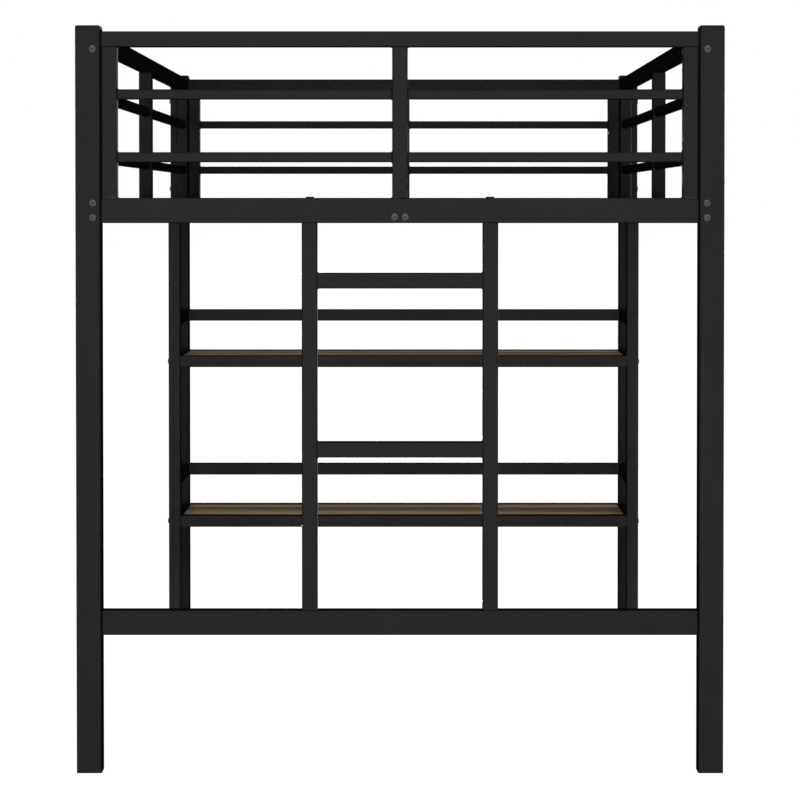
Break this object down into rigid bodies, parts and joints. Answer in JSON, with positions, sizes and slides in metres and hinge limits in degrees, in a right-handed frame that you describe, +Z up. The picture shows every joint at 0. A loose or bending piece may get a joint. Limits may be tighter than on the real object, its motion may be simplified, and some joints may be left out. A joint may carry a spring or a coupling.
{
  "type": "low loft bed",
  "caption": "Low loft bed in black square steel tube with guard rails all round, a fixed end ladder and a two-tier wood shelf unit under the far end.",
  "frame": {"origin": "on the floor, midway between the four posts, at the centre of the foot plane", "axes": "+Z up, +Y from the ladder end to the shelf end along the bed's length, +X to the right of someone facing the ladder"},
  "size_m": [1.0566, 2.0006, 1.214],
  "materials": {
    "frame_steel": "satin black powder coat with a fine texture",
    "black_plastic": "moulded matt black",
    "bolt_steel": "dark grey plated",
    "rustic_wood": "rustic brown wood-grain laminate"
  },
  "bodies": {
    "root": {"front_left_post": "frame_steel", "front_right_post": "frame_steel", "rear_left_post": "frame_steel", "rear_right_post": "frame_steel", "post_top_caps": "black_plastic", "post_feet": "black_plastic", "front_end_panel": "frame_steel", "rear_end_panel": "frame_steel", "left_side_panel": "frame_steel", "right_side_panel": "frame_steel", "guard_upright_plugs": "black_plastic", "left_slat_ledge": "frame_steel", "right_slat_ledge": "frame_steel", "centre_beam": "frame_steel", "slat_01": "frame_steel", "slat_02": "frame_steel", "slat_03": "frame_steel", "slat_04": "frame_steel", "slat_05": "frame_steel", "slat_06": "frame_steel", "slat_07": "frame_steel", "slat_08": "frame_steel", "slat_09": "frame_steel", "slat_10": "frame_steel", "slat_11": "frame_steel", "slat_12": "frame_steel", "slat_13": "frame_steel", "slat_14": "frame_steel", "slat_end_shoes": "black_plastic", "slat_saddles": "black_plastic", "ladder_crossbar": "frame_steel", "left_ladder_stile": "frame_steel", "right_ladder_stile": "frame_steel", "lower_rung": "frame_steel", "upper_rung": "frame_steel", "ladder_tabs": "frame_steel", "left_shelf_frame": "frame_steel", "right_shelf_frame": "frame_steel", "shelf_upright_feet": "black_plastic", "lower_shelf_front_rail": "frame_steel", "upper_shelf_front_rail": "frame_steel", "lower_shelf_back_rail": "frame_steel", "upper_shelf_back_rail": "frame_steel", "lower_gallery_rail": "frame_steel", "upper_gallery_rail": "frame_steel", "lower_shelf_board": "rustic_wood", "upper_shelf_board": "rustic_wood", "lower_board_strips": "frame_steel", "upper_board_strips": "frame_steel", "board_screws": "bolt_steel", "rail_end_plates": "frame_steel", "weld_nuts": "frame_steel", "main_rail_bolts": "bolt_steel", "guard_bolts": "bolt_steel", "crossbar_bolts": "bolt_steel", "centre_beam_bolts": "bolt_steel", "ladder_bolts": "bolt_steel", "shelf_bolts": "bolt_steel"}
  },
  "joints": []
}
